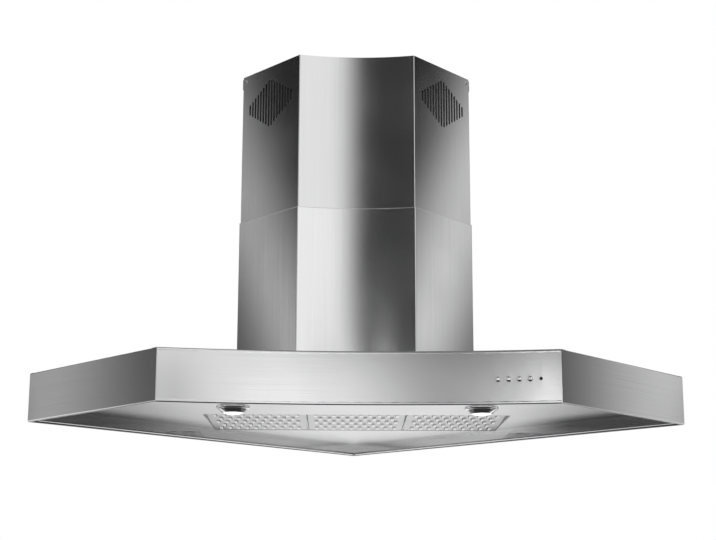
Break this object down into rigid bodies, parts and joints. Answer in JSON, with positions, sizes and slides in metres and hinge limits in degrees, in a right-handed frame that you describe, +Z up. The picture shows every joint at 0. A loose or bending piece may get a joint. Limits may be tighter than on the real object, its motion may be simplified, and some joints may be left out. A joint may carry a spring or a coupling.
{
  "type": "corner range hood",
  "caption": "Stainless corner chimney range hood with a hollow-fronted five-sided canopy, telescopic chimney, hinged grease filters, round lamps, push buttons and a blower with a duct collar.",
  "frame": {"origin": "the room corner at the height of the canopy's lower rim, where both back panels meet the walls", "axes": "+X to the viewer's right, +Y into the room corner, +Z up; the walls run at 45 degrees to X and Y"},
  "size_m": [1.4142, 1.0267, 0.959],
  "materials": {
    "stainless": "brushed",
    "filter_steel": "satin",
    "filter_mat": "bright",
    "zinc_steel": "zinc plated",
    "chrome_trim": "polished",
    "lamp_glass": "frosted",
    "black_plastic": "moulded",
    "grey_plastic": "moulded",
    "circuit_board": "solder mask",
    "motor_paint": "painted",
    "pilot_lens": "moulded"
  },
  "bodies": {
    "hood": {"canopy_front_panel": "stainless", "canopy_right_panel": "stainless", "canopy_left_panel": "stainless", "canopy_back_right_panel": "stainless", "canopy_back_left_panel": "stainless", "canopy_top_plate": "stainless", "liner_panel": "stainless", "chimney_lower_cover": "stainless", "filter_frame": "zinc_steel", "filter_frame_nuts": "zinc_steel", "filter_spring_clips": "zinc_steel", "blower_box": "zinc_steel", "motor_bracket": "zinc_steel", "chimney_base_clips": "zinc_steel", "base_clip_screws": "zinc_steel", "blower_box_screws": "zinc_steel", "left_lamp_can": "zinc_steel", "right_lamp_can": "zinc_steel", "left_lamp_bezel": "chrome_trim", "right_lamp_bezel": "chrome_trim", "left_lamp_lens": "lamp_glass", "right_lamp_lens": "lamp_glass", "left_lamp_capsule": "lamp_glass", "right_lamp_capsule": "lamp_glass", "scroll_left_half": "black_plastic", "scroll_right_half": "black_plastic", "outlet_collar": "black_plastic", "switch_housing": "black_plastic", "cable_gland": "black_plastic", "control_module": "grey_plastic", "capacitor": "grey_plastic", "lamp_transformer": "grey_plastic", "switch_board": "circuit_board", "motor": "motor_paint", "pilot_light": "pilot_lens"},
    "upper_chimney": {"chimney_upper_cover": "stainless", "ceiling_bracket": "zinc_steel", "upper_cover_screws": "zinc_steel"},
    "left_filter": {"left_filter_tray": "filter_steel", "left_filter_mesh": "filter_mat"},
    "middle_filter": {"middle_filter_tray": "filter_steel", "middle_filter_mesh": "filter_mat"},
    "right_filter": {"right_filter_tray": "filter_steel", "right_filter_mesh": "filter_mat"},
    "fan": {"fan_wheel": "black_plastic", "fan_shaft": "zinc_steel"},
    "front_flap": {"front_flap": "black_plastic"},
    "rear_flap": {"rear_flap": "black_plastic"},
    "light_button": {"light_button": "chrome_trim"},
    "low_speed_button": {"low_speed_button": "chrome_trim"},
    "middle_speed_button": {"middle_speed_button": "chrome_trim"},
    "high_speed_button": {"high_speed_button": "chrome_trim"}
  },
  "joints": [
    {"name": "upper_chimney_slide", "type": "slide", "parent": "hood", "child": "upper_chimney", "axis": [0, 0, 1], "range_m": [-0.36, 0.03]},
    {"name": "left_filter_hinge", "type": "hinge", "parent": "hood", "child": "left_filter", "pos_m": [-0.2266, -0.38204, 0.03], "axis": [1, 0, 0], "range_deg": [0, 80]},
    {"name": "middle_filter_hinge", "type": "hinge", "parent": "hood", "child": "middle_filter", "pos_m": [0, -0.38204, 0.03], "axis": [1, 0, 0], "range_deg": [0, 80]},
    {"name": "right_filter_hinge", "type": "hinge", "parent": "hood", "child": "right_filter", "pos_m": [0.2266, -0.38204, 0.03], "axis": [1, 0, 0], "range_deg": [0, 80]},
    {"name": "fan_spin", "type": "hinge", "parent": "hood", "child": "fan", "pos_m": [0, -0.32045, 0.215], "axis": [1, 0, 0], "continuous": true},
    {"name": "front_flap_hinge", "type": "hinge", "parent": "hood", "child": "front_flap", "pos_m": [0, -0.27346, 0.371], "axis": [-1, 0, 0], "range_deg": [0, 82]},
    {"name": "rear_flap_hinge", "type": "hinge", "parent": "hood", "child": "rear_flap", "pos_m": [0, -0.26545, 0.371], "axis": [1, 0, 0], "range_deg": [0, 82]},
    {"name": "light_button_press", "type": "slide", "parent": "hood", "child": "light_button", "axis": [0.1464, 0.9892, 0], "range_m": [0, 0.003], "stiffness_N_per_m": 400},
    {"name": "low_speed_button_press", "type": "slide", "parent": "hood", "child": "low_speed_button", "axis": [0.1464, 0.9892, 0], "range_m": [0, 0.003], "stiffness_N_per_m": 400},
    {"name": "middle_speed_button_press", "type": "slide", "parent": "hood", "child": "middle_speed_button", "axis": [0.1464, 0.9892, 0], "range_m": [0, 0.003], "stiffness_N_per_m": 400},
    {"name": "high_speed_button_press", "type": "slide", "parent": "hood", "child": "high_speed_button", "axis": [0.1464, 0.9892, 0], "range_m": [0, 0.003], "stiffness_N_per_m": 400}
  ]
}
